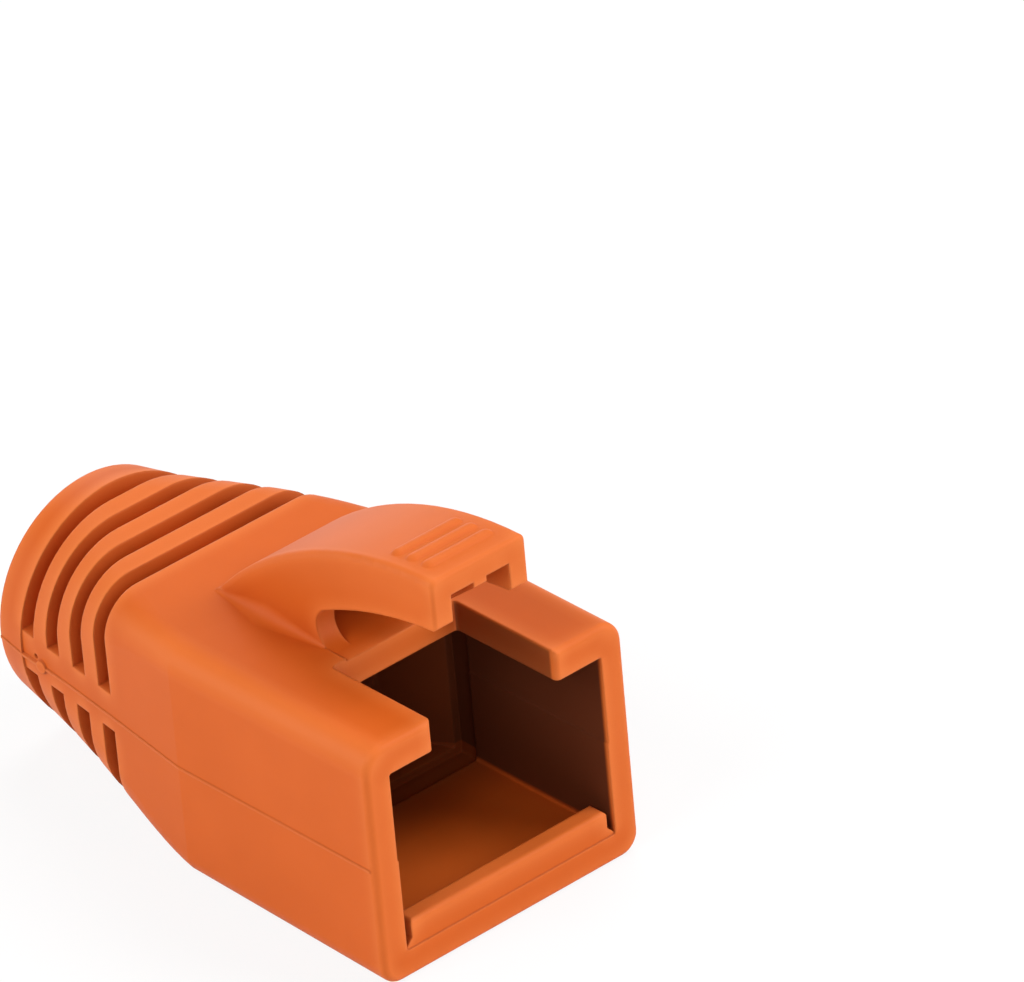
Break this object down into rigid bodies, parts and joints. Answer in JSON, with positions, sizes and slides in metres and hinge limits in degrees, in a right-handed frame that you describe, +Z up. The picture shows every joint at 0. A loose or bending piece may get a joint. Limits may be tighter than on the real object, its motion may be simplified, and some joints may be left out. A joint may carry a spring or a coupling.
{
  "type": "rj45 strain relief boot",
  "caption": "Soft moulded boot that slides over a modular plug: box-shaped socket, hollow latch-cover lever with grip bars, and a ribbed nose around the cable bore.",
  "frame": {"origin": "middle of the boot's footprint, on the surface it rests on", "axes": "+X along the cable, from the mouth of the plug socket to the cable end; +Y across; +Z up, with the lever on top"},
  "size_m": [0.026, 0.0144, 0.0177],
  "materials": {
    "boot_plastic": "soft matte moulded plastic, one orange colour all through"
  },
  "bodies": {
    "root": {"strain_relief_boot": "boot_plastic"}
  },
  "joints": []
}
